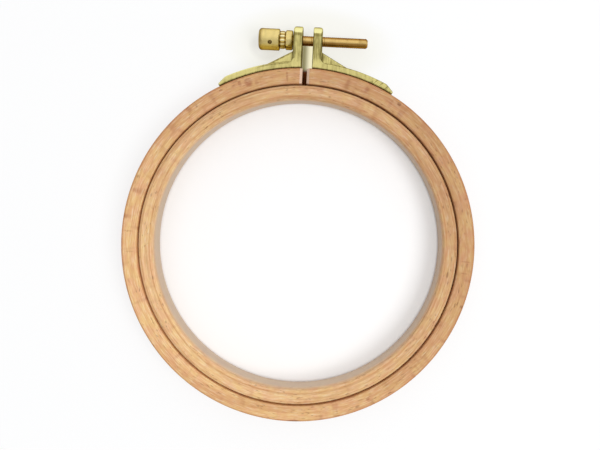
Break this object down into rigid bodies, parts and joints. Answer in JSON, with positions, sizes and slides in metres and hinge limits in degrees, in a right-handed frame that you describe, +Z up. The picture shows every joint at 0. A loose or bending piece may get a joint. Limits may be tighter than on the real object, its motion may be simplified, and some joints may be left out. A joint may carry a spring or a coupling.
{
  "type": "embroidery hoop",
  "caption": "Round wooden embroidery hoop: a plain inner ring inside a split outer ring that a brass thumbscrew draws shut across two brackets.",
  "frame": {"origin": "middle of the hoop's box at its underside, which is the surface it lies on; the rings' centre is 7.1 mm from it towards -Y", "axes": "+Z up out of the hoop's face; +Y from the rings' centre through the split; +X along the thumbscrew from its knob to its tip"},
  "size_m": [0.113, 0.1272, 0.01],
  "materials": {
    "outer_ring_wood": "sanded bent beech, bare or thinly oiled",
    "inner_ring_wood": "sanded bent beech, bare or thinly oiled",
    "bracket_brass": "cast brass, brushed, greenish yellow",
    "nail_brass": "drawn brass, bright",
    "screw_brass": "turned brass, bright, warmer than the brackets",
    "pin_brass": "drawn brass, darkened"
  },
  "bodies": {
    "outer_hoop": {"outer_ring": "outer_ring_wood", "left_bracket": "bracket_brass", "left_nail_near": "nail_brass", "left_nail_far": "nail_brass"},
    "right_clamp": {"right_bracket": "bracket_brass", "right_nail_near": "nail_brass", "right_nail_far": "nail_brass"},
    "inner_hoop": {"inner_ring": "inner_ring_wood"},
    "thumbscrew": {"screw_rod": "screw_brass", "screw_knob": "screw_brass", "knob_pin": "pin_brass"}
  },
  "joints": [
    {"name": "thumbscrew_turn", "type": "hinge", "parent": "outer_hoop", "child": "thumbscrew", "pos_m": [0, 0.05908, 0.005], "axis": [1, 0, 0], "range_deg": [-1440, 720]},
    {"name": "clamp_close", "type": "hinge", "parent": "outer_hoop", "child": "right_clamp", "pos_m": [0, -0.06103, 0.005], "axis": [0, 0, 1], "range_deg": [-1.21, 0.61], "deforming": ["outer_ring"]},
    {"name": "inner_ring_lift", "type": "slide", "parent": "outer_hoop", "child": "inner_hoop", "axis": [0, 0, 1], "range_m": [0, 0.016]}
  ],
  "couplings": [
    {"joint": "thumbscrew_turn", "follows": "clamp_close", "ratio": 1188.4}
  ]
}
